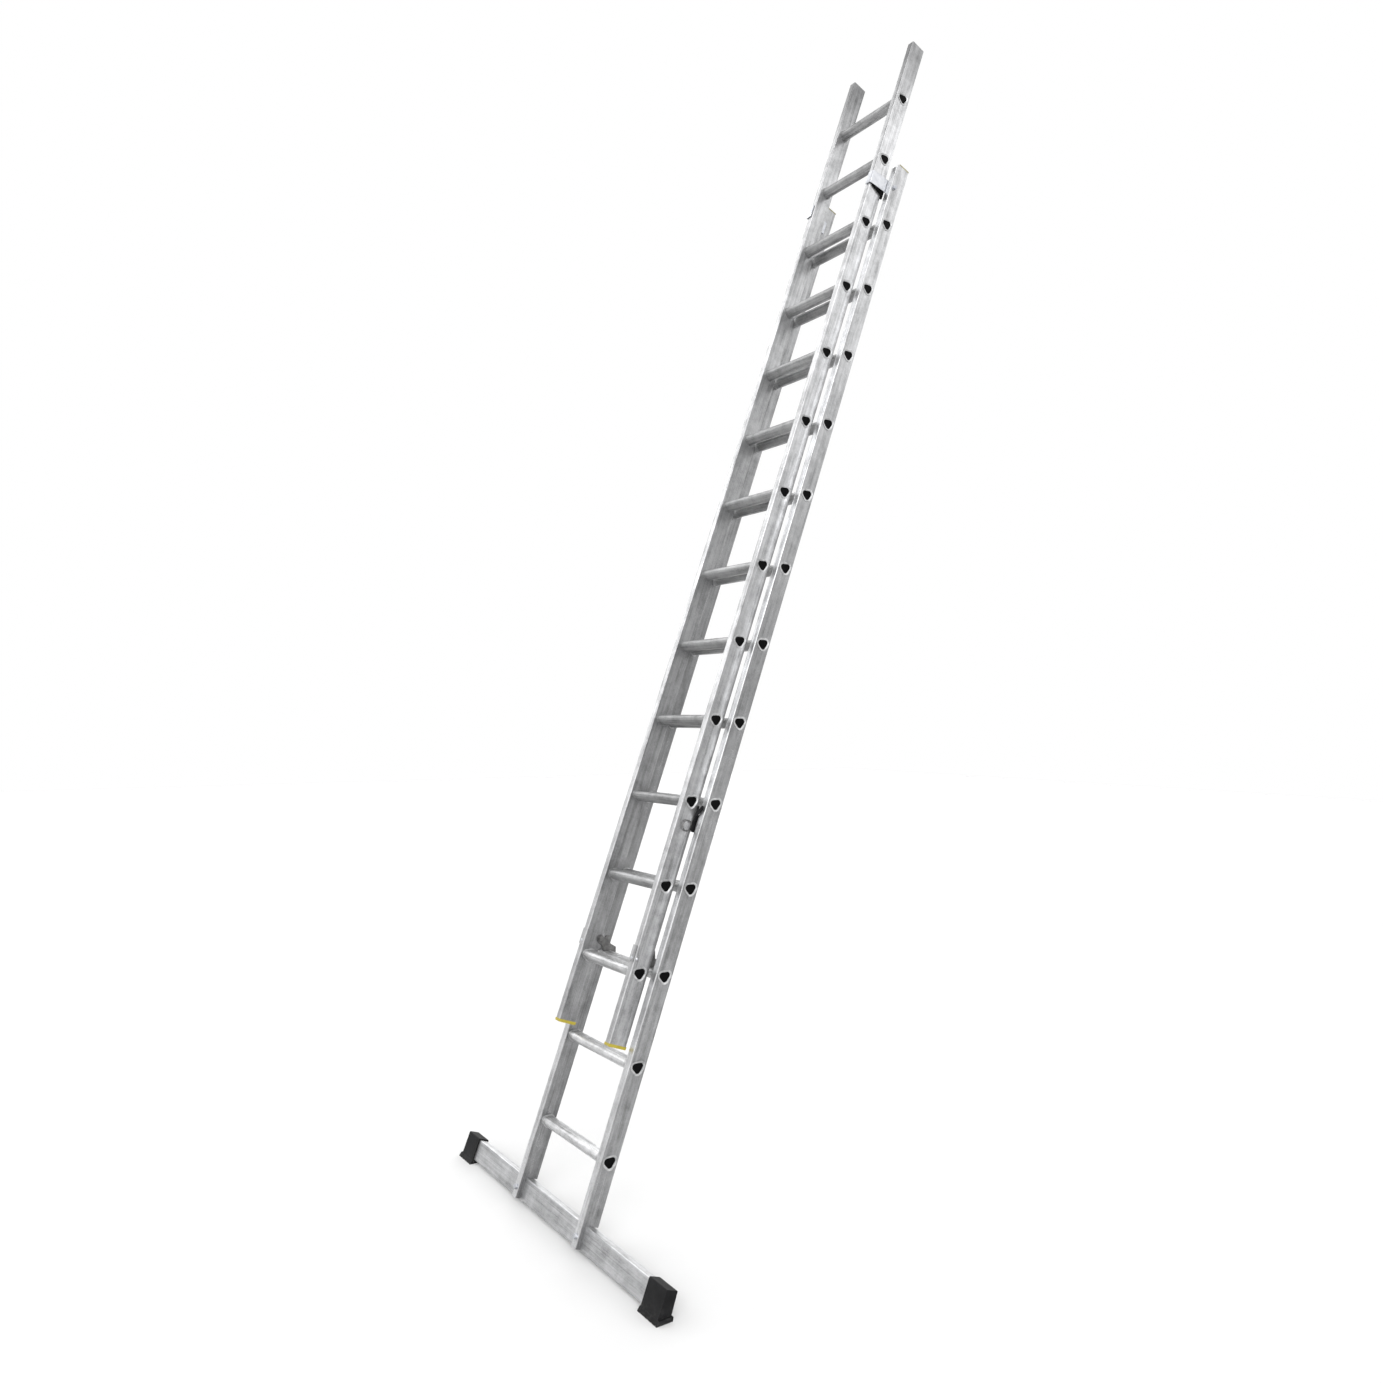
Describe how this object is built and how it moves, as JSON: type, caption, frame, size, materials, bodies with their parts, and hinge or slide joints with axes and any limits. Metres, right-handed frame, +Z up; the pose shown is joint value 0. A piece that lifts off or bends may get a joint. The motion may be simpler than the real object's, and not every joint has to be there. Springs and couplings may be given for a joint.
{
  "type": "two-section push-up extension ladder",
  "caption": "Aluminium push-up extension ladder: fly section sliding on a base section with rung hooks, side catch, stabiliser bar and rubber feet.",
  "frame": {"origin": "On the floor, midway between the two foot soles and midway between their front and back edges.", "axes": "+Z up, +Y towards the wall the ladder leans on, +X to the climber's right along the rungs. The stiles lean 20 degrees from vertical towards +Y."},
  "size_m": [1.16, 1.3436, 3.7346],
  "materials": {
    "aluminium_extrusion": "mill-finish extrusion, satin",
    "aluminium_rung": "mill-finish extrusion, ribbed tread",
    "zinc_steel": "bright zinc plate",
    "dull_steel": "pressed steel, zinc plate gone dull",
    "black_steel": "black powder coat, fine texture",
    "black_plastic": "moulded, matt",
    "black_rubber": "moulded rubber, matt",
    "yellow_plastic": "moulded, slight sheen"
  },
  "bodies": {
    "base": {"base_stile_left": "aluminium_extrusion", "base_stile_right": "aluminium_extrusion", "base_rung_01": "aluminium_rung", "base_rung_02": "aluminium_rung", "base_rung_03": "aluminium_rung", "base_rung_04": "aluminium_rung", "base_rung_05": "aluminium_rung", "base_rung_06": "aluminium_rung", "base_rung_07": "aluminium_rung", "base_rung_08": "aluminium_rung", "base_rung_09": "aluminium_rung", "base_rung_10": "aluminium_rung", "base_rung_11": "aluminium_rung", "base_rung_12": "aluminium_rung", "base_rung_13": "aluminium_rung", "base_rung_plugs": "black_plastic", "base_top_cap_left": "yellow_plastic", "base_top_cap_right": "yellow_plastic", "top_guide_left": "zinc_steel", "top_guide_right": "zinc_steel", "top_guide_pad_left": "black_plastic", "top_guide_pad_right": "black_plastic", "top_guide_bolts": "zinc_steel", "stabiliser_bar": "aluminium_extrusion", "bar_bolts": "zinc_steel", "bar_nuts": "zinc_steel", "bar_spacers": "black_plastic", "foot_left": "black_rubber", "foot_right": "black_rubber"},
    "fly": {"fly_stile_left": "aluminium_extrusion", "fly_stile_right": "aluminium_extrusion", "fly_rung_01": "aluminium_rung", "fly_rung_02": "aluminium_rung", "fly_rung_03": "aluminium_rung", "fly_rung_04": "aluminium_rung", "fly_rung_05": "aluminium_rung", "fly_rung_06": "aluminium_rung", "fly_rung_07": "aluminium_rung", "fly_rung_08": "aluminium_rung", "fly_rung_09": "aluminium_rung", "fly_rung_10": "aluminium_rung", "fly_rung_11": "aluminium_rung", "fly_rung_12": "aluminium_rung", "fly_rung_13": "aluminium_rung", "fly_rung_plugs": "black_plastic", "fly_top_plug_left": "black_plastic", "fly_top_plug_right": "black_plastic", "fly_bottom_cap_left": "yellow_plastic", "fly_bottom_cap_right": "yellow_plastic", "hook_bracket_left": "zinc_steel", "hook_bracket_right": "zinc_steel", "hook_pins": "dull_steel", "hook_bracket_rivets": "zinc_steel", "catch_housing": "black_plastic", "catch_pin": "black_steel"},
    "hook_left": {"rung_hook_left": "dull_steel"},
    "hook_right": {"rung_hook_right": "dull_steel"},
    "catch": {"catch_lever": "black_steel", "catch_loop": "dull_steel"}
  },
  "joints": [
    {"name": "fly_slide", "type": "slide", "parent": "base", "child": "fly", "axis": [0, 0.342, 0.9397], "range_m": [-0.5, 2]},
    {"name": "hook_left_pivot", "type": "hinge", "parent": "fly", "child": "hook_left", "pos_m": [-0.126, 0.22801, 0.74194], "axis": [1, 0, 0], "range_deg": [0, 130]},
    {"name": "hook_right_pivot", "type": "hinge", "parent": "fly", "child": "hook_right", "pos_m": [0.126, 0.22801, 0.74194], "axis": [1, 0, 0], "range_deg": [0, 130]},
    {"name": "catch_pivot", "type": "hinge", "parent": "fly", "child": "catch", "pos_m": [0.1592, 0.37566, 1.10961], "axis": [1, 0, 0], "range_deg": [0, 32]}
  ]
}
